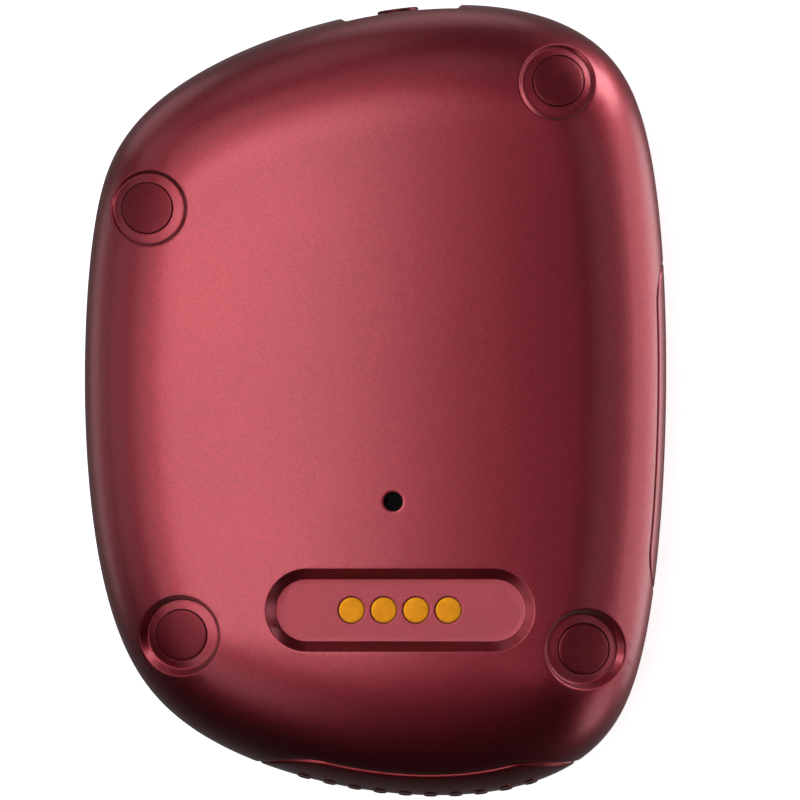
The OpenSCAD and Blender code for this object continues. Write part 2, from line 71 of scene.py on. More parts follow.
RECESS_W, RECESS_DEPTH, RECESS_SHIFT = 9.65, 0.32, 0.25
RECESS_BLEND = 0.0004   # softens the line where the thumb recess meets the wall
BUTTON_D, BUTTON_CLEAR = 3.25, 0.06
BUTTON_FACING = 97.2
ROCKER_Y, ROCKER_LEN, ROCKER_H = -2.05, 25.7, 6.4
GRIP_X, GRIP_LEN, GRIP_H = 3.35, 25.1, 10.0
GRIP_PRESS = Y_WAY      # the way that the grip key slides in
BUTTON_OUT = np.array([math.cos(math.radians(BUTTON_FACING)), math.sin(math.radians(BUTTON_FACING)), 0])
KEY_DRAFT = 0.15        # how much narrower a key is at the foot of its sides
KEY_GAP = 0.12
DOT_PITCH, DOT_D, DOT_RISE = 2.0, 1.1, 0.12

DOCK = (1.95, -16.55)
DOCK_LEN, DOCK_W, DOCK_DEPTH, DOCK_SLOPE = 21.2, 6.5, 1.1, 0.78
CONTACT_PITCH, CONTACT_D, CONTACT_GAP = 2.54, 2.04, 0.07
MIC = (1.4, -8.0)
MIC_D = 1.5
# Each plug: x, y, depth of its pocket, radius of the pocket's rim, rim's shift down the slope. The x, y
# and PLUG_D were measured by fitting ellipses to the plugs in the photograph, then rounded.
PLUGS = {"screw_plug_upper_right": (14.42, 25.15, 0.45, 2.98, -0.15),
         "screw_plug_upper_left": (-18.0, 15.12, 0.45, 3.0, -0.15),
         "screw_plug_lower_left": (-15.3, -18.53, 1.0, 3.17, 0.15),
         "screw_plug_lower_right": (16.41, -19.63, 1.0, 3.17, 0.15)}
PLUG_D, PLUG_GAP, FLOOR_R, FLOOR_SHIFT = 4.02, 0.05, 2.77, -0.17
SPEAKER = (1.95, -9.0)
GRILLE_D, GRILLE_RING = 1.1, 2.3
PIPE = (13.4, 9.4)
PIPE_D = 2.4

# ---------------------------------------------------------------------------
# Outline: radius of curvature changes smoothly from stretch to stretch
# ---------------------------------------------------------------------------


def bend_radius(a):
    """Radius of the outline where it faces direction a; the curvature blends between stretches."""
    dirs = np.array([s[0] for s in STRETCHES] + [STRETCHES[0][0] + 360.0])
    radii = np.array([s[1] for s in STRETCHES] + [STRETCHES[0][1]])
    b = (a - dirs[0]) % 360.0 + dirs[0]
    k = np.clip(np.searchsorted(dirs, b, side="right") - 1, 0, len(STRETCHES) - 1)
    w = (1 - np.cos(np.pi * (b - dirs[k]) / (dirs[k + 1] - dirs[k]))) / 2
    return 1 / ((1 - w) / radii[k] + w / radii[k + 1])


def make_outline(count=3600):
    """Arc length, x, y and facing direction along the outline, closed and scaled to BODY_W."""
    a = (np.arange(count) + 0.5) * 360.0 / count
    c, s = np.cos(np.radians(a)), np.sin(np.radians(a))
    r = bend_radius(a)
    r = r - 2 * ((r * c).mean() * c + (r * s).mean() * s)
    step = r * 2 * np.pi / count
    x = np.concatenate([[0], np.cumsum(-s * step)])
    y = np.concatenate([[0], np.cumsum(c * step)])
    k = BODY_W / (x.max() - x.min())
    x = k * (x - (x.max() + x.min()) / 2)
    y = k * (y - (y.max() + y.min()) / 2)
    return np.concatenate([[0], np.cumsum(k * step)]), x, y, np.arange(count + 1) * 360.0 / count


ARC, EDGE_X, EDGE_Y, EDGE_DIR = make_outline()
PERIMETER = ARC[-1]


def arc_facing(a):
    """Place along the outline that faces direction a."""
    return float(np.interp(a % 360.0, EDGE_DIR, ARC)) + PERIMETER * math.floor(a / 360.0)


SEAM = arc_facing(150)
BUTTON_ARC = arc_facing(BUTTON_FACING) + PERIMETER
RECESS_ARC = BUTTON_ARC - RECESS_SHIFT

# ---------------------------------------------------------------------------
# Body surface. A place is (arc, g): g = 0 at the widest line, 1 at the flat of
# the back, -1 at the flat of the front.
# ---------------------------------------------------------------------------
G_POWER = 1.15     # spreads g evenly over the rounding
BATCH = 2000       # points that are worked on at once, to save memory


def crown(x):
    """Height of the middle of the back, which falls to both sides."""
    return BODY_T - CROWN_DROP * (x / (BODY_W / 2)) ** 2


def back_round(a):
    """How far in the rounding of the back reaches, for a wall that faces a."""
    s = np.sin(np.radians(a))
    return (SIDE_ROUND + (TOP_ROUND - SIDE_ROUND) * np.maximum(0, s) ** 4
            + (BOTTOM_ROUND - SIDE_ROUND) * np.maximum(0, -s) ** 4)


def recess_ramp(arc):
    """1 over the thumb recess, 0 outside, with ends sloping as far as it is deep."""
    away = np.abs((arc - RECESS_ARC + PERIMETER / 2) % PERIMETER - PERIMETER / 2)
    return np.clip((RECESS_W / 2 - away) / RECESS_DEPTH, 0, 1)


def body_point(arc, g, sink=0.0, recess=False):
    """Point of the surface, or of one sink deep inside it; recess lets the thumb recess into it."""
    arc, g = np.broadcast_arrays(np.asarray(arc, float), np.asarray(g, float))
    at = arc % PERIMETER
    a = np.interp(at, ARC, EDGE_DIR)
    t = np.radians(90 * np.minimum(1, np.abs(g)) ** G_POWER)
    fall = 1 - np.maximum(0, np.cos(t)) ** (2 / EDGE_POWER)
    rise = np.sin(t) ** (2 / EDGE_POWER)
    d = sink + (np.where(g >= 0, back_round(a), FRONT_ROUND) - sink) * fall
    if recess:
        cut = RECESS_DEPTH * recess_ramp(at)
        d = (d + cut + np.sqrt((d - cut) ** 2 + RECESS_BLEND * (cut > 0))) / 2
    c, s = np.cos(np.radians(a)), np.sin(np.radians(a))
    x = np.interp(at, ARC, EDGE_X) - d * c
    y = np.interp(at, ARC, EDGE_Y) - d * s
    top = crown(x) - sink
    z = np.where(g >= 0, MID_Z + (top - MID_Z) * rise, MID_Z - (MID_Z - sink) * rise)
    return np.stack([x, y, z], axis=-1)


def unit(v):
    return v / np.maximum(1e-12, np.linalg.norm(v, axis=-1, keepdims=True))


def body_normal(arc, g):
    """Outward direction, square to the surface with no thumb recess in it."""
    e, h = 0.02, 0.002
    along = body_point(arc + e, g) - body_point(arc - e, g)
    up = body_point(arc, g + h) - body_point(arc, g - h)
    return unit(np.cross(along, up))


def g_of_height(z, top=BODY_T):
    """g at which the surface has height z, near the widest line."""
    z = np.asarray(z, float)
    s = np.clip(np.abs(z - MID_Z) / np.where(z >= MID_Z, top - MID_Z, MID_Z), 0, 1)
    t = np.degrees(np.arcsin(s ** (EDGE_POWER / 2)))
    return np.sign(z - MID_Z) * (t / 90) ** (1 / G_POWER)


def back_height(x, y, sink=0.0):
    """Height over (x, y) of the back, or of a face sink deep inside it, from the outline's nearest point."""
    x, y = np.atleast_1d(x).astype(float), np.atleast_1d(y).astype(float)
    out = np.empty_like(x)
    for k in range(0, len(x), BATCH):
        px, py = x[k:k + BATCH], y[k:k + BATCH]
        near = np.argmin((px[:, None] - EDGE_X[:-1]) ** 2 + (py[:, None] - EDGE_Y[:-1]) ** 2, axis=1)
        a = np.radians(EDGE_DIR[near])
        d = (EDGE_X[near] - px) * np.cos(a) + (EDGE_Y[near] - py) * np.sin(a) - sink
        u = np.clip(1 - d / (back_round(EDGE_DIR[near]) - sink), 0, 1)
        top = crown(px) - sink
        out[k:k + BATCH] = MID_Z + (top - MID_Z) * (1 - u ** EDGE_POWER) ** (1 / EDGE_POWER)
    return out


# ---------------------------------------------------------------------------
# Mesh making
# ---------------------------------------------------------------------------
class Skin:
    """Vertices and faces in millimetres, welded into one mesh at the end."""

    def __init__(self):
        self.verts, self.faces, self.count = [], [], 0

    def add(self, points):
        points = np.asarray(points, float).reshape(-1, 3)
        start = self.count
        self.verts.append(points)
        self.count += len(points)
        return start

    def strip(self, rings):
        """Quads between closed rings of the same length."""
        n = len(rings[0])
        starts = [self.add(r) for r in rings]
        for a, b in zip(starts, starts[1:]):
            self.faces += [(a + j, a + (j + 1) % n, b + (j + 1) % n, b + j) for j in range(n)]

    def cap(self, ring, middle):
        a, m = self.add(ring), self.add([middle])
        n = len(ring)
        self.faces += [(a + j, a + (j + 1) % n, m) for j in range(n)]

    def triangles(self, points, tris):
        a = self.add(points)
        self.faces += [(a + i, a + j, a + k) for i, j, k in tris]

    def build(self, name, body, material, smooth_angle=32):
        mesh = bpy.data.meshes.new(name)
        mesh.from_pydata((np.concatenate(self.verts) * MM).tolist(), [], self.faces)
        bm = bmesh.new()
        bm.from_mesh(mesh)
        bmesh.ops.remove_doubles(bm, verts=bm.verts, dist=2e-6)
        bmesh.ops.dissolve_degenerate(bm, edges=bm.edges, dist=1e-6)
        bmesh.ops.recalc_face_normals(bm, faces=bm.faces)
        for face in bm.faces:
            face.smooth = True
        for edge in bm.edges:
            if len(edge.link_faces) == 2 and edge.calc_face_angle(0) > math.radians(smooth_angle):
                edge.smooth = False
        bm.to_mesh(mesh)
        bm.free()
        mesh.materials.append(material)
        piece = bpy.data.objects.new(name, mesh)
        piece.modifiers.new("even_shading", "WEIGHTED_NORMAL").keep_sharp = True
        bpy.context.scene.collection.objects.link(piece)
        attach(piece, body)
        return piece


def inside(points, loop):
    """Which points lie inside a closed loop, in the plane."""
    px, py = points[:, 0], points[:, 1]
    result = np.zeros(len(points), bool)
    for (x0, y0), (x1, y1) in zip(loop, np.roll(loop, -1, axis=0)):
        if y0 != y1:
            hit = (y0 > py) != (y1 > py)
            result ^= hit & (px < (x1 - x0) * (py - y0) / (y1 - y0) + x0)
    return result


def triangulate(outer, holes, extra):
    """Triangles over the plane region inside outer and outside holes, with extra points in it.
    Gives the points, outer first, then each hole, then the extra ones, and the triangles."""
    loops = [np.asarray(outer, float)] + [np.asarray(h, float) for h in holes]
    points = np.concatenate(loops + ([extra] if len(extra) else []))
    edges, start = [], 0
    for loop in loops:
        n = len(loop)
        edges += [(start + j, start + (j + 1) % n) for j in range(n)]
        start += n
    out = delaunay_2d_cdt([Vector(p) for p in points], edges, [], 0, 1e-7)
    back = [o[0] for o in out[3]]
    tris = np.array([[back[i] for i in f] for f in out[2]])
    middle = points[tris].mean(axis=1)
    keep = inside(middle, loops[0])
    for hole in loops[1:]:
        keep &= ~inside(middle, hole)
    tris = tris[keep]
    a, b, c = (points[tris[:, i]] for i in range(3))
    area = (b[:, 0] - a[:, 0]) * (c[:, 1] - a[:, 1]) - (b[:, 1] - a[:, 1]) * (c[:, 0] - a[:, 0])
    return points, np.where(area[:, None] > 0, tris, tris[:, ::-1])[np.abs(area) > 1e-9]


def clear_of(points, loops, margin):
    """Points that lie outside every loop, and at least margin away from it."""
    keep = np.ones(len(points), bool)
    for loop in loops:
        low, high = loop.min(axis=0) - margin, loop.max(axis=0) + margin
        near = np.all((points > low) & (points < high), axis=1) & keep
        idx = np.nonzero(near)[0]
        if len(idx):
            gap = np.sqrt(((points[idx, None] - loop[None]) ** 2).sum(-1)).min(axis=1)
            keep[idx[(gap < margin) | inside(points[idx], loop)]] = False
    return points[keep]


def hex_points(loop, pitch, margin):
    """Even points inside a loop."""
    low, high = loop.min(axis=0), loop.max(axis=0)
    rows = np.arange(low[1], high[1], pitch * math.sqrt(3) / 2)
    pts = [(x + (pitch / 2 if k % 2 else 0), y) for k, y in enumerate(rows)
           for x in np.arange(low[0], high[0], pitch)]
    pts = np.array(pts)
    pts = pts[inside(pts, loop)]
    gap = np.concatenate([np.sqrt(((pts[k:k + BATCH, None] - loop[None]) ** 2).sum(-1)).min(axis=1)
                          for k in range(0, len(pts), BATCH)]) if len(pts) else np.array([])
    return pts[gap > margin]


def stadium(length, width, pitch):
    """Closed rounded slot round the origin, at even spacing, anticlockwise."""
    r, run = width / 2, (length - width) / 2
    ends = max(10, int(math.pi * r / pitch))
    side = max(2, int(2 * run / pitch))
    angle = np.linspace(-math.pi / 2, math.pi / 2, ends, endpoint=False)
    right = np.stack([run + r * np.cos(angle), r * np.sin(angle)], axis=1)
    top = np.stack([np.linspace(run, -run, side, endpoint=False), np.full(side, r)], axis=1)
    return np.concatenate([right, top, -right, -top])


def circle(radius, count):
    a = np.arange(count) * 2 * math.pi / count
    return np.stack([radius * np.cos(a), radius * np.sin(a)], axis=1)


def bezier(a, c, b, steps):
    """Rings along a curve from a to b that bends towards c."""
    return [(1 - u) ** 2 * a + 2 * u * (1 - u) * c + u * u * b for u in np.linspace(0, 1, steps)]


def rolled(points, normals, toward, radius, steps=4):
    """Rings that round an edge over: from the surface, bending down the wall."""
    return [points + toward * radius * math.sin(a) - normals * radius * (1 - math.cos(a))
            for a in np.linspace(0, math.pi / 2, steps)]


def turned(points, normals, sign):
    """Direction along the surface, square to a closed curve."""
    run = unit(np.roll(points, -1, axis=0) - np.roll(points, 1, axis=0))
    return sign * unit(np.cross(normals, run))


# ---------------------------------------------------------------------------
# Places on the wall that keys and their openings take
# ---------------------------------------------------------------------------
W_SCALE = 12.0    # millimetres of wall for one unit of g, for evenly shaped triangles


def table_between(a0, a1, values):
    """Arc lengths between two facing directions, counted from the seam, with the outline's values there."""
    arcs = np.linspace(arc_facing(a0), arc_facing(a1), 800)
    return arcs + PERIMETER * (arcs < SEAM), np.interp(arcs % PERIMETER, ARC, values)


def rocker_curve(grow, pitch=0.25):
    """Outline of the rocker key on the wall, as (arc, g), grown all round."""
    arcs, ys = table_between(-60, 60, EDGE_Y)
    s = stadium(ROCKER_LEN + 2 * grow, ROCKER_H + 2 * grow, pitch)
    top = crown(EDGE_X.max() - 1)
    return np.stack([np.interp(ROCKER_Y + s[:, 0], ys, arcs), g_of_height(MID_Z + s[:, 1], top)], axis=1)


def grip_curve(grow, pitch=0.25):
    """Outline of the grip key on the wall, as (arc, g), grown all round."""
    arcs, xs = table_between(210, 330, EDGE_X)
    s = stadium(GRIP_LEN + 2 * grow, GRIP_H + 2 * grow, pitch)
    x = GRIP_X + s[:, 0]
    return np.stack([np.interp(x, xs, arcs), g_of_height(MID_Z + s[:, 1], crown(x))], axis=1)


def button_curve(grow, count=64):
    """Outline of the power button on the wall, as (arc, g), grown all round."""
    s = circle(BUTTON_D / 2 + grow, count)
    at = facing_point(BUTTON_FACING)
    return np.stack([BUTTON_ARC + s[:, 0], g_of_height(MID_Z + s[:, 1], crown(at[0]))], axis=1)


def facing_point(a):
    """Point of the outline that faces direction a."""
    arc = arc_facing(a)
    return np.array([np.interp(arc, ARC, EDGE_X), np.interp(arc, ARC, EDGE_Y)])


# ---------------------------------------------------------------------------
# Rear cover
# ---------------------------------------------------------------------------
COLUMNS = 400
EDGE_ROLL = 0.14       # rounding of the edge of each key's opening
OPENING_SIDE = 0.9     # depth of an opening's side that runs square to the wall
PRESS_SIDE = 1.2       # depth of one that runs along the way its key slides
LIP_ROLL, LIP_SIDE = 0.1, 0.5
# Degrees of rounding at which the wall patch ends, and where it is higher: facing, width and rise
WALL_TOP = 20.0
WALL_RISES = ((-1, 15, 13), (266, 30, 20))


def top_of_wall(arc):
    """Where the wall patch gives way to the back patch: higher beside the rocker and the grip key."""
    facing = np.interp(arc % PERIMETER, ARC, EDGE_DIR)
    t = WALL_TOP
    for middle, width, rise in WALL_RISES:
        away = np.abs((facing - middle + 180) % 360 - 180)
        t = t + rise * np.exp(-(away / width) ** 6)
    return (t / 90) ** (1 / G_POWER)


def inner_point(arc, g):
    """Inside face of the wall, level with the outside below the widest line."""
    g = np.asarray(g, float)
    rise = np.sin(np.radians(90 * np.abs(g) ** G_POWER)) ** (2 / EDGE_POWER)
    low = -(np.degrees(np.arcsin(np.clip(rise * MID_Z / (MID_Z - WALL), 0, 1) ** (EDGE_POWER / 2)))
            / 90) ** (1 / G_POWER)
    return body_point(arc, np.where(g < 0, low, g), WALL)


def wall_columns():
    """Arc lengths of the wall's columns, even but for closer ones at the ends of the recess."""
    even = SEAM + np.arange(COLUMNS + 1) * PERIMETER / COLUMNS
    fine = np.concatenate([RECESS_ARC + side * np.linspace(RECESS_W / 2 - RECESS_DEPTH - 0.1,
                                                           RECESS_W / 2 + 0.1, 8) for side in (-1, 1)])
    keep = [c for c in even if np.min(np.abs(fine - c)) > 0.12]
    return np.sort(np.concatenate([keep, fine]))


def wall_patch(skin, columns, low_g):
    """Side wall from the joint line up, with the openings of the three keys."""
    rows = 26
    high = top_of_wall(columns)
    g = low_g + (high - low_g) * (np.arange(rows + 1) / rows)[:, None]
    arc = np.broadcast_to(columns, g.shape)
    holes = [rocker_curve(KEY_GAP + EDGE_ROLL), grip_curve(KEY_GAP + EDGE_ROLL),
             button_curve(BUTTON_CLEAR + EDGE_ROLL)]
    scale = np.array([1, W_SCALE])
    bottom = np.stack([columns, g[0]], axis=1)
    top = np.stack([columns, g[-1]], axis=1)
    sides = [np.stack([np.full(rows - 1, columns[k]), g[1:-1, k]], axis=1) for k in (0, -1)]
    outer = np.concatenate([bottom, sides[1], top[::-1], sides[0][::-1]]) * scale
    inner = np.stack([arc[1:-1, 1:-1].ravel(), g[1:-1, 1:-1].ravel()], axis=1) * scale
    inner = clear_of(inner, [h * scale for h in holes], 0.22)
    points, tris = triangulate(outer, [h * scale for h in holes], inner)
    points = points / scale
    skin.triangles(body_point(points[:, 0], points[:, 1], 0, True), tris)
    skin.triangles(inner_point(points[:, 0], points[:, 1]), tris[:, ::-1])
    for hole, press in zip(holes, (None, GRIP_PRESS, -BUTTON_OUT)):
        p = body_point(hole[:, 0], hole[:, 1], 0, True)
        n = body_normal(hole[:, 0], hole[:, 1])
        rings = rolled(p, n, turned(p, n, 1), EDGE_ROLL)
        side = -n * OPENING_SIDE if press is None else press * PRESS_SIDE
        skin.strip(rings + [rings[-1] + side, inner_point(hole[:, 0], hole[:, 1])])
    return top


def joint_edge(skin, columns, low_g, down):
    """Rounded lip of a cover where the two covers meet."""
    arc, g = columns[:-1], np.full(len(columns) - 1, low_g)
    p, n = body_point(arc, g), body_normal(arc, g)
    along = unit(body_point(arc, g + 0.002) - body_point(arc, g - 0.002))
    rings = rolled(p, n, -along if down else along, LIP_ROLL)
    skin.strip(rings + [rings[-1] - n * LIP_SIDE, inner_point(arc, g)])


def ring_in(place, rho, w, angle):
    """Ring of radius rho at height w, in a place given by its middle and three directions."""
    middle, e1, e2, up = place
    return (middle + rho[:, None] * (np.cos(angle)[:, None] * e1 + np.sin(angle)[:, None] * e2)
            + w[:, None] * up)


def down_slope(x, y, span=0.8):
    """Direction in the plane in which the back falls away most."""
    fall = np.array([back_height(x - span, y)[0] - back_height(x + span, y)[0],
                     back_height(x, y - span)[0] - back_height(x, y + span)[0]])
    return unit(fall)


def round_ring(middle, radius, drop, count=96):
    """Circle seen from above, laid on the back and dropped straight down."""
    loop = circle(radius, count) + middle
    return lifted(loop, back_height(loop[:, 0], loop[:, 1]) - drop)


def pocket_rings(name):
    """Rings down a plug's pocket, from the body surface to its closed bottom."""
    x, y, depth, rim_r, rim_shift = PLUGS[name]
    out = down_slope(x, y)
    plug_at = np.array([x, y])
    floor_at, rim_at = plug_at + out * FLOOR_SHIFT, plug_at + out * rim_shift
    edge, foot = 0.12, 0.1
    a, c = round_ring(rim_at, rim_r + edge, 0), round_ring(rim_at, rim_r, 0)
    f, g = round_ring(floor_at, FLOOR_R, depth), round_ring(floor_at, FLOOR_R - foot, depth)
    length = np.linalg.norm(f - c, axis=1, keepdims=True)
    b = c + (f - c) * np.minimum(0.4, edge / length)
    e = f - (f - c) * np.minimum(0.4, foot / length)
    hole = PLUG_D / 2 + PLUG_GAP
    rings = bezier(a, c, b, 6) + bezier(e, f, g, 5)
    for k in (0.33, 0.66, 0.9):
        at, radius = floor_at * (1 - k) + plug_at * k, (FLOOR_R - foot) * (1 - k) + hole * k
        rings.append(round_ring(at, radius, depth))
    for grow, drop in ((0.03, 0), (0.01, 0.01), (0, 0.04), (0, 0.5)):
        rings.append(round_ring(plug_at, hole + grow, depth + drop))
    return rings


def dock_loop(r, count_end=44, count_side=40):
    """Dock outline at end radius r: the straight run stays the same."""
    run = (DOCK_LEN - DOCK_W) / 2
    angle = np.linspace(-math.pi / 2, math.pi / 2, count_end, endpoint=False)
    right = np.stack([run + r * np.cos(angle), r * np.sin(angle)], axis=1)
    top = np.stack([np.linspace(run, -run, count_side, endpoint=False), np.full(count_side, r)], axis=1)
    return np.concatenate([right, top, -right, -top]) + np.array(DOCK)


DOCK_FLOOR = float(crown(DOCK[0])) - DOCK_DEPTH


def lifted(loop, z):
    return np.column_stack([loop, np.broadcast_to(z, len(loop))])


def dock_patch(skin):
    """Recess of the dock: rounded rim, sloping wall, flat floor with four contact wells."""
    outer_r, floor_r = DOCK_W / 2, DOCK_W / 2 - DOCK_SLOPE
    rim, foot = 0.06, 0.06
    well_r, well_deep = CONTACT_D / 2 + CONTACT_GAP, 0.4
    a = dock_loop(outer_r + rim)
    c = dock_loop(outer_r)
    a3, c3 = lifted(a, back_height(a[:, 0], a[:, 1])), lifted(c, back_height(c[:, 0], c[:, 1]))
    f3 = lifted(dock_loop(floor_r), DOCK_FLOOR)
    slope = f3 - c3
    length = np.linalg.norm(slope, axis=1, keepdims=True)
    b3 = c3 + slope * np.minimum(0.4, rim / length)
    a4 = f3 - slope * np.minimum(0.4, foot / length)
    b4 = lifted(dock_loop(floor_r - foot), DOCK_FLOOR)
    skin.strip(bezier(a3, c3, b3, 6) + bezier(a4, f3, b4, 5))
    wells = [circle(well_r, 48) + np.array([DOCK[0] + (k - 1.5) * CONTACT_PITCH, DOCK[1]])
             for k in range(4)]
    edge = dock_loop(floor_r - foot)
    around = [well.mean(axis=0) + (well - well.mean(axis=0)) * 1.08 for well in wells]
    extra = clear_of(hex_points(edge, 0.5, 0.25), around, 0.12)
    points, tris = triangulate(edge, wells, np.concatenate([extra] + around))
    skin.triangles(lifted(points, DOCK_FLOOR), tris)
    for well in wells:
        middle = well.mean(axis=0)
        down = [(1, 0), (0.97, -0.015), (0.955, -0.05), (0.955, -well_deep)]
        rings = [lifted(middle + (well - middle) * f, DOCK_FLOOR + z) for f, z in down]
        skin.strip(rings)
        skin.cap(rings[-1], [middle[0], middle[1], DOCK_FLOOR - well_deep])
    return a


def mic_patch(skin, count=48):
    """Microphone hole with a rounded rim."""
    rings, r = [], MIC_D / 2
    for radius, drop in ((r + 0.08, 0), (r + 0.03, 0.015), (r + 0.005, 0.05), (r, 0.09), (r, 1.3)):
        loop = circle(radius, count) + np.array(MIC)
        rings.append(lifted(loop, back_height(loop[:, 0], loop[:, 1]) - drop))
    skin.strip(rings)
    skin.cap(rings[-1], rings[-1].mean(axis=0))
    return rings[0][:, :2]


def back_patch(skin, top):
    """Crowned back, with the plug pockets, the dock and the microphone hole let into it."""
    ring = body_point(top[:-1, 0], top[:-1, 1])
    holes = []
    for name in PLUGS:
        rings = pocket_rings(name)
        skin.strip(rings)
        skin.cap(rings[-1], rings[-1].mean(axis=0))
        holes.append(rings[0][:, :2])
    holes.append(dock_patch(skin))
    holes.append(mic_patch(skin))
    arcs, low = top[:-1, 0], top[:-1, 1]
    extra = []
    for k in range(1, 17):
        g = low + (1 - low) * k / 16
        step = 1 if k < 5 else 2
        extra.append(body_point(arcs[::step], g[::step])[:, :2])
    flat = extra[-1]
    extra.append(hex_points(flat, 0.65, 0.35))
    for hole in holes:
        middle = hole.mean(axis=0)
        out = unit(hole - middle)
        extra += [(hole + out * 0.18)[::2], (hole + out * 0.45)[1::3]]
    guard = clear_of(np.concatenate(extra[-2 * len(holes):]), holes, 0.1)
    spread = [h + unit(h - h.mean(axis=0)) * 0.62 for h in holes]
    plain = clear_of(np.concatenate(extra[:-2 * len(holes)]), spread, 0.05)
    points, tris = triangulate(ring[:, :2], holes, np.concatenate([plain, guard]))
    z = back_height(points[:, 0], points[:, 1])
    z[:len(ring)] = ring[:, 2]
    skin.triangles(np.column_stack([points, z]), tris)
    # inside face, plain
    edge = inner_point(arcs, low)
    rows = [body_point(arcs[::4], (low + (1 - low) * k / 5)[::4], WALL)[:, :2] for k in range(1, 6)]
    inner = np.concatenate(rows + [hex_points(rows[-1], 2.5, 1.2)])
    points, tris = triangulate(edge[:, :2], [], inner)
    z = back_height(points[:, 0], points[:, 1], WALL)
    z[:len(edge)] = edge[:, 2]
    skin.triangles(np.column_stack([points, z]), tris[:, ::-1])


def make_rear_cover(material):
    skin = Skin()
    columns = wall_columns()
    low_g = float(g_of_height(PART_Z + PART_GAP))
    top = wall_patch(skin, columns, low_g)
    joint_edge(skin, columns, low_g, True)
    back_patch(skin, top)
    piece = skin.build("rear_shell", "housing", material)
    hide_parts("rear_cover")


# ---------------------------------------------------------------------------
# Front cover
# ---------------------------------------------------------------------------
def make_front_cover(material):
    """Shallow dish with a flat to rest on, a speaker grille and the light's hole."""
    skin = Skin()
    columns = SEAM + np.arange(COLUMNS + 1) * PERIMETER / COLUMNS
    arcs = columns[:-1]
    high_g = float(g_of_height(PART_Z - PART_GAP))
    joint_edge(skin, columns, high_g, False)
    rows = [high_g + (-1 - high_g) * k / 18 for k in range(19)]
    skin.strip([body_point(arcs, np.full(COLUMNS, g)) for g in rows])
    skin.strip([inner_point(arcs, np.full(COLUMNS, g)) for g in rows if inner_rise(g) < 1]
               + [body_point(arcs, np.full(COLUMNS, -1.0), WALL)])
    flat = body_point(arcs, np.full(COLUMNS, -1.0))[:, :2]
    holes = [circle(r / 2 + 0.12, 32 if r < 2 else 48) + np.array(at) for at, r in front_holes()]
    extra = clear_of(hex_points(flat, 1.1, 0.5), holes, 0.35)
    points, tris = triangulate(flat, holes, extra)
    skin.triangles(lifted(points, 0), tris[:, ::-1])
    skin.triangles(lifted(points, WALL), tris)
    for hole in holes:
        middle = hole.mean(axis=0)
        r = np.linalg.norm(hole[0] - middle)
        down = [(r, 0), (r - 0.05, 0.015), (r - 0.1, 0.05), (r - 0.12, 0.12), (r - 0.12, WALL - 0.02),
                (r, WALL)]
        skin.strip([lifted(middle + (hole - middle) * q / r, z) for q, z in down])
    piece = skin.build("front_shell", "housing", material)
    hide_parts("front_cover")


def inner_rise(g):
    """Share of the way down the rounding that inner_point reaches at g; past 1 it has arrived."""
    return (math.sin(math.radians(90 * abs(g) ** G_POWER)) ** (2 / EDGE_POWER)) * MID_Z / (MID_Z - WALL)


def front_holes():
    """Place and diameter of each hole in the front cover: the grille's rings and the light pipe's."""
    spots = [((SPEAKER[0] + ring * GRILLE_RING * math.cos(k * math.pi / 3 / max(1, ring)),
               SPEAKER[1] + ring * GRILLE_RING * math.sin(k * math.pi / 3 / max(1, ring))), GRILLE_D)
             for ring in range(3) for k in range(max(1, 6 * ring))]
    return spots + [(PIPE, PIPE_D + 0.1)]


# ---------------------------------------------------------------------------
# Keys
# ---------------------------------------------------------------------------
def key_plate(name, body, curve, roll, thick, bumps, material, node, press=None):
    """Key that fills an opening, flush with the wall: rolled edge, drafted sides and a plain inside.

    The sides run square to the wall, or along press, the direction that the key slides in."""
    skin = Skin()
    scale = np.array([1, W_SCALE])
    loop = curve(-roll)
    plane = loop * scale
    bump_rings, bump_middles = bumps if bumps else ([], [])
    extra = hex_points(plane, 0.45, 0.22)
    extra = clear_of(extra, [r * scale for r in bump_rings], 0.1) if bump_rings else extra
    points, tris = triangulate(plane, [r * scale for r in bump_rings], extra)
    points = points / scale
    p = body_point(points[:, 0], points[:, 1])
    n = body_normal(points[:, 0], points[:, 1])
    skin.triangles(p, tris)
    for ring, (arc, g) in zip(bump_rings, bump_middles):
        dome(skin, ring, arc, g)
    lp, ln = p[:len(loop)], n[:len(loop)]
    out = turned(lp, ln, -1)
    rings = rolled(lp, ln, out, roll)
    back = rings[-1] + (-ln if press is None else press) * thick - out * KEY_DRAFT
    skin.strip(rings + [back])
    inner, inner_tris = triangulate(plane, [], hex_points(plane, 1.2, 0.6))
    inner = inner / scale
    inward = -body_normal(inner[:, 0], inner[:, 1]) if press is None else press
    ip = body_point(inner[:, 0], inner[:, 1]) + inward * (thick + roll)
    ip[:len(loop)] = back
    skin.triangles(ip, inner_tris[:, ::-1])
    piece = skin.build(name, body, material)
    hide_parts(node)


def dome(skin, ring, arc, g):
    """Raised dot over a ring on the surface."""
    rings = []
    for f, rise in ((1, 0), (0.96, 0.2), (0.87, 0.52), (0.7, 0.8), (0.4, 0.95)):
        at = np.array([arc, g]) + (ring - np.array([arc, g])) * f
        rings.append(body_point(at[:, 0], at[:, 1]) + body_normal(at[:, 0], at[:, 1]) * rise * DOT_RISE)
    skin.strip(rings)
    skin.cap(rings[-1], body_point(arc, g) + body_normal(arc, g) * DOT_RISE)


def grip_dots():
    """Rings and middles of the dots: three rows of ten."""
    arcs, xs = table_between(210, 330, EDGE_X)
    rings, middles = [], []
    for row in (-1, 0, 1):
        for k in range(10):
            x, z = GRIP_X + (k - 4.5) * DOT_PITCH, MID_Z + row * DOT_PITCH
            spot = circle(DOT_D / 2, 20)
            arc = float(np.interp(x, xs, arcs))
            rings.append(np.stack([arc + spot[:, 0], g_of_height(z + spot[:, 1], crown(x))], axis=1))
            middles.append((arc, float(g_of_height(z, crown(x)))))
    return rings, middles


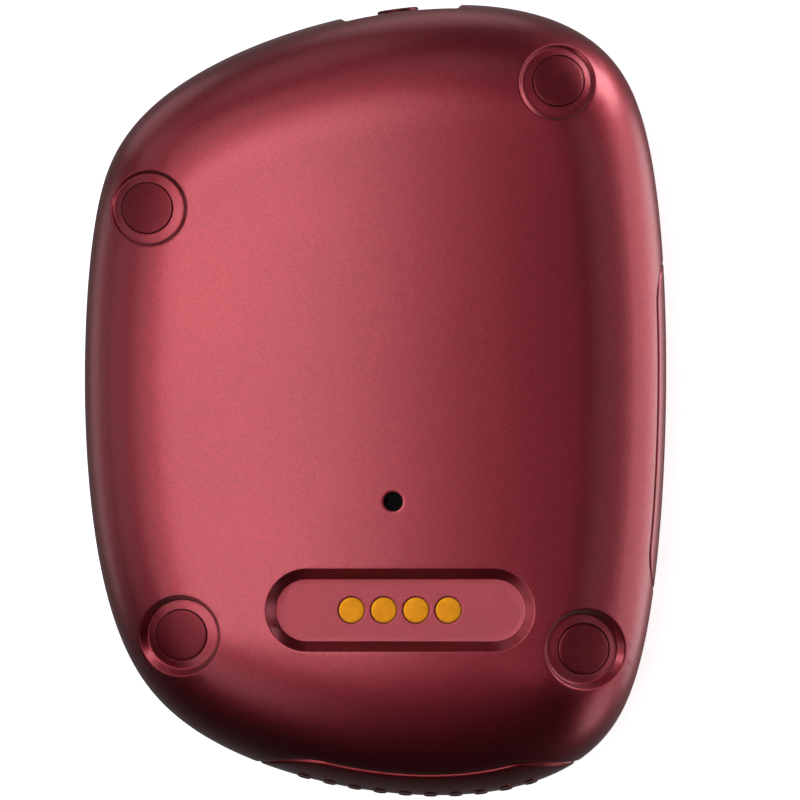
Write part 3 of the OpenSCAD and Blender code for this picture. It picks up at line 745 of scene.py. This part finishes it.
def make_button(material):
    """Power button: a round cap with a soft edge, flush with the wall beside the recess."""
    side = np.cross(Z_WAY, BUTTON_OUT)
    middle = np.append(facing_point(BUTTON_FACING), MID_Z)
    r = BUTTON_D / 2
    path = [(0.35 * r, -0.005), (0.7 * r, -0.02), (r - 0.2, -0.035), (r - 0.09, -0.06), (r - 0.03, -0.1),
            (r, -0.18), (r, -0.95), (r - 0.3, -1.0), (r - 0.3, -2.4), (r + 0.7, -2.45), (r + 0.7, -2.6),
            (0.9, -2.65), (0.9, -3.2)]
    turned_piece("power_button", "top_button", middle, side, Z_WAY, BUTTON_OUT, path, material,
                 "top_button")


def turned_piece(name, body, middle, e1, e2, up, path, material, node, count=72):
    """Body of revolution about a line through middle along up. path is (radius, height)."""
    skin = Skin()
    angle = np.arange(count) * 2 * math.pi / count
    place = (middle, e1, e2, up)
    rings = [ring_in(place, np.full(count, float(r)), np.full(count, float(w)), angle) for r, w in path]
    skin.strip(rings)
    skin.cap(rings[0], rings[0].mean(axis=0))
    skin.cap(rings[-1], rings[-1].mean(axis=0))
    piece = skin.build(name, body, material)
    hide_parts(node)


def make_plugs(material):
    """Round plugs whose faces follow the slope of the back."""
    for name, (x, y, depth, _, _) in PLUGS.items():
        skin = Skin()
        r, at = PLUG_D / 2, np.array([x, y])
        face = ((0.3 * r, -0.04), (0.6 * r, -0.04), (0.85 * r, -0.035), (r - 0.1, -0.03))
        edge = ((r - 0.04, -0.01), (r - 0.01, 0.03), (r, 0.08), (r, 0.48))
        rings = [round_ring(at, radius, depth + drop) for radius, drop in face + edge]
        skin.strip(rings)
        skin.cap(rings[0], rings[0].mean(axis=0))
        skin.cap(rings[-1], rings[-1].mean(axis=0))
        piece = skin.build(name.replace("screw_", ""), "housing", material)
        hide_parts(name)


def make_contacts(material):
    """Gold pads that stand in the wells of the dock's floor."""
    for k in range(4):
        node = "charge_contact_%d" % (k + 1)
        low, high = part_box(node)
        x, y = ((low[i] + high[i]) / 2 / MM for i in (0, 1))
        r = CONTACT_D / 2
        path = [(0.3 * r, 0), (0.8 * r, 0), (r - 0.1, -0.003), (r - 0.03, -0.015), (r, -0.05), (r, -0.38)]
        turned_piece("gold_pad_%d" % (k + 1), "housing", np.array([x, y, DOCK_FLOOR]), X_WAY, Y_WAY, Z_WAY,
                     path, material, node, 56)


def make_mic_mesh(material):
    """Black acoustic cloth across the microphone hole, as a thin crowned disc."""
    top = float(back_height(MIC[0], MIC[1])[0]) - 0.5
    r = MIC_D / 2 - 0.01
    path = [(0.5 * r, -0.02), (0.9 * r, 0), (r, -0.02), (r, -0.2)]
    turned_piece("mic_screen", "housing", np.array([*MIC, top]), X_WAY, Y_WAY, Z_WAY,
                 path, material, "mic_mesh", 48)


def make_light_pipe(material):
    """Clear window of the status light: it sits a little inside the front face."""
    inset, r = 0.15, PIPE_D / 2
    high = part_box("light_pipe")[1]
    path = [(0.4 * r, -0.06), (r - 0.15, -0.03), (r - 0.04, 0.03), (r, 0.12), (r, 1.45), (r + 0.7, 1.45),
            (r + 0.7, 2.05), (r, 2.05), (r, high[2] / MM - inset)]
    turned_piece("light_window", "housing", np.array([*PIPE, inset]), X_WAY, Y_WAY, Z_WAY,
                 path, material, "light_pipe")


# ---------------------------------------------------------------------------
# Materials
# ---------------------------------------------------------------------------
class Nodes:
    """Short forms for building a shader. All places are object coordinates in metres."""

    def __init__(self, name):
        self.material = bpy.data.materials.new(name)
        self.material.use_nodes = True
        self.tree = self.material.node_tree
        self.shader = self.tree.nodes["Principled BSDF"]
        self.place = self.tree.nodes.new("ShaderNodeTexCoord").outputs["Object"]

    def link(self, a, b):
        self.tree.links.new(a, b)

    def noise(self, scale, detail=3.0, rough=0.6, stretch=None):
        place = self.place
        if stretch:
            mapping = self.tree.nodes.new("ShaderNodeMapping")
            mapping.inputs["Scale"].default_value = stretch
            self.link(place, mapping.inputs["Vector"])
            place = mapping.outputs["Vector"]
        n = self.tree.nodes.new("ShaderNodeTexNoise")
        n.inputs["Scale"].default_value = scale
        n.inputs["Detail"].default_value = detail
        n.inputs["Roughness"].default_value = rough
        self.link(place, n.inputs["Vector"])
        return n.outputs["Fac"]

    def cells(self, scale):
        n = self.tree.nodes.new("ShaderNodeTexVoronoi")
        n.inputs["Scale"].default_value = scale
        self.link(self.place, n.inputs["Vector"])
        return n.outputs["Distance"]

    def ramp(self, source, stops):
        n = self.tree.nodes.new("ShaderNodeValToRGB")
        while len(n.color_ramp.elements) < len(stops):
            n.color_ramp.elements.new(0.5)
        for element, (at, colour) in zip(n.color_ramp.elements, stops):
            element.position = at
            element.color = (*colour, 1.0)
        self.link(source, n.inputs["Fac"])
        return n.outputs["Color"]

    def between(self, source, low, high):
        n = self.tree.nodes.new("ShaderNodeMapRange")
        n.inputs["To Min"].default_value = low
        n.inputs["To Max"].default_value = high
        n.inputs["From Min"].default_value = 0.3
        n.inputs["From Max"].default_value = 0.7
        self.link(source, n.inputs["Value"])
        return n.outputs["Result"]

    def bump(self, source, strength, distance, previous=None):
        n = self.tree.nodes.new("ShaderNodeBump")
        n.inputs["Strength"].default_value = strength
        n.inputs["Distance"].default_value = distance
        self.link(source, n.inputs["Height"])
        if previous is not None:
            self.link(previous, n.inputs["Normal"])
        return n.outputs["Normal"]

    def set(self, **values):
        for key, value in values.items():
            socket = self.shader.inputs[key.replace("_", " ")]
            if isinstance(value, bpy.types.NodeSocket):
                self.link(value, socket)
            else:
                socket.default_value = value


def shade(colour, k):
    return tuple(min(1.0, c * k) for c in colour)


def satin_paint(name, colour, metallic, rough, grain, coat=0.9):
    """Metallic paint: fine flake in the colour, orange-peel and grain in the surface, a clear coat."""
    m = Nodes(name)
    flake = m.noise(5600, 3.0, 0.75)
    drift = m.noise(60, 2.0, 0.5)
    tone = m.ramp(flake, [(0.4, shade(colour, 1 - grain)), (0.6, shade(colour, 1 + grain))])
    m.set(Base_Color=tone, Metallic=metallic, Roughness=m.between(drift, rough - 0.02, rough + 0.02))
    m.set(Coat_Weight=coat, Coat_Roughness=rough - 0.12, Coat_IOR=1.5)
    m.set(Sheen_Weight=0.12, Sheen_Roughness=0.4, Sheen_Tint=(1, 1, 1, 1))
    peel = m.bump(m.noise(900, 2.0, 0.5), 0.06, 0.0002)
    m.set(Normal=m.bump(m.noise(6500, 3.0, 0.6), 0.12, 0.00008, peel))
    return m.material


def shell_paint():
    return satin_paint("burgundy_paint", (0.325, 0.019, 0.036), 1.0, 0.42, 0.16)


def key_paint():
    return satin_paint("burgundy_key_paint", (0.315, 0.019, 0.035), 1.0, 0.42, 0.16)


# The button's paint is made far darker than the shell's: painted shade, standing in for the shade on its cap
# beside the thumb recess.
def button_paint_with_painted_shade():
    return satin_paint("button_paint_darkened_as_painted_shade", (0.10, 0.008, 0.011), 1.0, 0.46, 0.12, 0.2)


def grip_rubber():
    return satin_paint("burgundy_grip_rubber", (0.23, 0.015, 0.022), 0.9, 0.34, 0.08, 0.4)


def plug_rubber():
    """Smooth dark burgundy rubber, shaded half like metal to match the paint round it."""
    m = Nodes("plug_rubber")
    colour = (0.185, 0.012, 0.021)
    tone = m.ramp(m.noise(2600, 3.0), [(0.3, shade(colour, 0.86)), (0.7, shade(colour, 1.14))])
    m.set(Base_Color=tone, Metallic=0.85, Roughness=m.between(m.noise(900), 0.42, 0.50))
    m.set(Specular_IOR_Level=0.3, Coat_Weight=0.25, Coat_Roughness=0.36, Coat_IOR=1.5)
    m.set(Normal=m.bump(m.noise(5200, 3.0), 0.10, 0.00006))
    return m.material


def gold_plate():
    m = Nodes("gold_plate")
    tone = m.ramp(m.noise(1500, 3.0), [(0.3, (0.68, 0.25, 0.006)), (0.7, (0.77, 0.30, 0.012))])
    m.set(Base_Color=tone, Metallic=0.8, Roughness=m.between(m.noise(2400), 0.40, 0.5))
    m.set(Specular_IOR_Level=0.3, Normal=m.bump(m.noise(3800, 4.0), 0.10, 0.00005))
    return m.material


def black_mesh():
    m = Nodes("acoustic_mesh")
    tone = m.ramp(m.cells(9000), [(0.2, (0.002, 0.002, 0.002)), (0.8, (0.012, 0.011, 0.011))])
    m.set(Base_Color=tone, Roughness=0.9, Specular_IOR_Level=0.05)
    m.set(Normal=m.bump(m.cells(9000), 0.5, 0.00008))
    return m.material


def milky_plastic():
    m = Nodes("milky_plastic")
    tone = m.ramp(m.noise(400), [(0.3, (0.50, 0.49, 0.45)), (0.7, (0.60, 0.59, 0.55))])
    m.set(Base_Color=tone, Roughness=m.between(m.noise(1500), 0.22, 0.34))
    m.set(Subsurface_Weight=0.25, Subsurface_Scale=0.0008)
    m.set(Normal=m.bump(m.noise(3000), 0.08, 0.00005))
    return m.material


def general(name, low, high, metallic, rough, scale, bump, stretch=None):
    """Moulded or rolled material: two tones, uneven gloss and a fine surface."""
    m = Nodes(name)
    tone = m.ramp(m.noise(scale, 3.0, 0.6, stretch), [(0.3, low), (0.7, high)])
    m.set(Base_Color=tone, Metallic=metallic)
    m.set(Roughness=m.between(m.noise(scale * 1.7, 3.0, 0.6, stretch), rough - 0.06, rough + 0.06))
    m.set(Normal=m.bump(m.noise(scale * 3, 3.0, 0.6, stretch), bump, 0.00008))
    return m.material


def inner_materials():
    """Material for each slot that only inner parts use."""
    dark = (0.018, 0.018, 0.018)
    return {
        "seal_rubber": general("seal_rubber", dark, (0.04, 0.04, 0.04), 0, 0.75, 1200, 0.2),
        "steel": general("brushed_steel", (0.5, 0.5, 0.52), (0.66, 0.66, 0.68), 1, 0.3, 2200, 0.15,
                         (1, 8, 8)),
        "gold": gold_plate(),
        "magnet_nickel": general("nickel", (0.62, 0.6, 0.56), (0.72, 0.7, 0.66), 1, 0.2, 1500, 0.06),
        "black_plastic": general("black_plastic", dark, (0.035, 0.035, 0.036), 0, 0.55, 1800, 0.2),
        "flex_polyimide": general("polyimide", (0.42, 0.17, 0.03), (0.56, 0.25, 0.05), 0, 0.3, 900, 0.08),
        "switch_plastic": general("switch_plastic", (0.6, 0.59, 0.55), (0.72, 0.71, 0.67), 0, 0.45, 1500,
                                  0.12),
        "board_laminate": general("solder_mask", (0.012, 0.1, 0.04), (0.02, 0.15, 0.06), 0, 0.28, 800, 0.12),
        "ceramic": general("ceramic", (0.58, 0.52, 0.4), (0.7, 0.64, 0.5), 0, 0.5, 1300, 0.15),
        "foil": general("pouch_foil", (0.5, 0.52, 0.56), (0.62, 0.64, 0.68), 0.9, 0.36, 700, 0.2),
        "mic_metal": general("mic_can", (0.55, 0.43, 0.2), (0.66, 0.53, 0.27), 1, 0.3, 1600, 0.1),
        "mesh_cloth": black_mesh(),
        "clear_plastic": milky_plastic(),
    }


# ---------------------------------------------------------------------------
# Object
# ---------------------------------------------------------------------------
paint, key_finish, grip_finish = shell_paint(), key_paint(), grip_rubber()
inner_finishes = inner_materials()

make_rear_cover(paint)
make_front_cover(paint)
key_plate("rocker_key", "side_rocker", rocker_curve, 0.18, 1.0, None, key_finish, "side_rocker")
key_plate("grip_plate", "grip_key", grip_curve, 0.3, 0.5, grip_dots(), grip_finish,
          "grip_key", GRIP_PRESS)
make_button(button_paint_with_painted_shade())
make_plugs(plug_rubber())
make_contacts(inner_finishes["gold"])
make_mic_mesh(inner_finishes["mesh_cloth"])
make_light_pipe(inner_finishes["clear_plastic"])

slot_of = {s["node"]: s["material_slot"] for s in frame["record"]["subparts"]}
for node, piece in frame["nodes"].items():
    finish = inner_finishes.get(slot_of[node])
    if finish:
        piece.data.materials.clear()
        piece.data.materials.append(finish)

# ---------------------------------------------------------------------------
# Stage, lights and camera
# ---------------------------------------------------------------------------
FLOOR_GLOW = 0.85
DISC_D, DISC_FAR = 0.56, 1.0
# Each bank of soft discs: its name, tilt from straight up, bearings in degrees, and watts a disc. Those
# tilted past 90 stand below the floor's level and light the rounded sides from under. The directions
# and first powers come from a fit to the photograph's brightness, grouped and rounded.
BANKS = (("key", 15, (135, 180), 1.55),
         ("left", 45, (135, 180, 225), 0.9),
         ("fill", 45, (0, 90), 0.4),
         ("low_left", 80, (110, 145, 180), 0.5),
         ("low_right", 80, (0,), 0.6),
         ("right_rim", 97, (325, 0), 1.0),
         ("back_rim", 97, (36,), 5.0),
         ("under_left", 118, (90, 135, 180), 0.5),
         ("under_right", 125, (0,), 1.5))


def stage_paint(name, tone, glow):
    """Matt pale paint with a glow of its own that Cycles doesn't sample as a lamp."""
    m = Nodes(name)
    pale = m.ramp(m.noise(2.0), [(0.3, shade((tone, tone, tone), 0.99)), (0.7, (tone, tone, tone))])
    m.set(Base_Color=pale, Roughness=0.9, Emission_Color=(1, 1, 1, 1), Emission_Strength=glow)
    m.material.cycles.emission_sampling = "NONE"
    return m.material


def make_floor():
    """Pale floor, lit a little from within as on a light table, so that shadows stay faint."""
    half, under = 3.0, -0.00005        # just under the object's flat, so that the two don't coincide
    corners = [(-half, -half, under), (half, -half, under), (half, half, under), (-half, half, under)]
    mesh = bpy.data.meshes.new("floor")
    mesh.from_pydata(corners, [], [(0, 1, 2, 3)])
    floor = bpy.data.objects.new("floor", mesh)
    bpy.context.scene.collection.objects.link(floor)
    mesh.materials.append(stage_paint("pale_floor", 0.9, FLOOR_GLOW))
    floor.visible_glossy = False
    floor.visible_shadow = False


def soft_disc(name, tilt, bearing, power):
    """Round soft box facing the body, tilt degrees from straight up, bearing anticlockwise from +X."""
    data = bpy.data.lights.new(name, "AREA")
    data.shape = "DISK"
    data.size = DISC_D
    data.energy = power
    lamp = bpy.data.objects.new(name, data)
    t, b = math.radians(tilt), math.radians(bearing)
    away = Vector((math.sin(t) * math.cos(b), math.sin(t) * math.sin(b), math.cos(t)))
    lamp.location = away * DISC_FAR + Vector((0, 0, MID_Z * MM))
    lamp.rotation_euler = away.to_track_quat("Z", "Y").to_euler()
    lamp.visible_camera = False
    bpy.context.scene.collection.objects.link(lamp)


def make_world():
    """Dark to the object, which the lamps alone light, and pale where the camera looks past the floor."""
    world = bpy.data.worlds.new("studio")
    world.use_nodes = True
    nodes, links = world.node_tree.nodes, world.node_tree.links
    nodes["Background"].inputs["Color"].default_value = (1, 1, 1, 1)
    links.new(nodes.new("ShaderNodeLightPath").outputs["Is Camera Ray"],
              nodes["Background"].inputs["Strength"])
    bpy.context.scene.world = world


def make_camera():
    """Straight down on the back through a long lens; the body sits a little left of the middle."""
    data = bpy.data.cameras.new("camera")
    data.lens = 1000
    data.sensor_width = 36
    data.clip_end = 10
    frame_width, frame_middle = 0.06327, 0.00194        # metres across the view, and x of its middle
    camera = bpy.data.objects.new("camera", data)
    camera.location = (frame_middle, 0.0, MID_Z * MM + frame_width * data.lens / data.sensor_width)
    bpy.context.scene.collection.objects.link(camera)
    bpy.context.scene.camera = camera


make_camera()
make_floor()
make_world()
for bank, tilt, bearings, power in BANKS:
    for bearing in bearings:
        soft_disc(f"{bank}_{bearing}", tilt, bearing, power)
bpy.context.scene.view_settings.view_transform = "Standard"
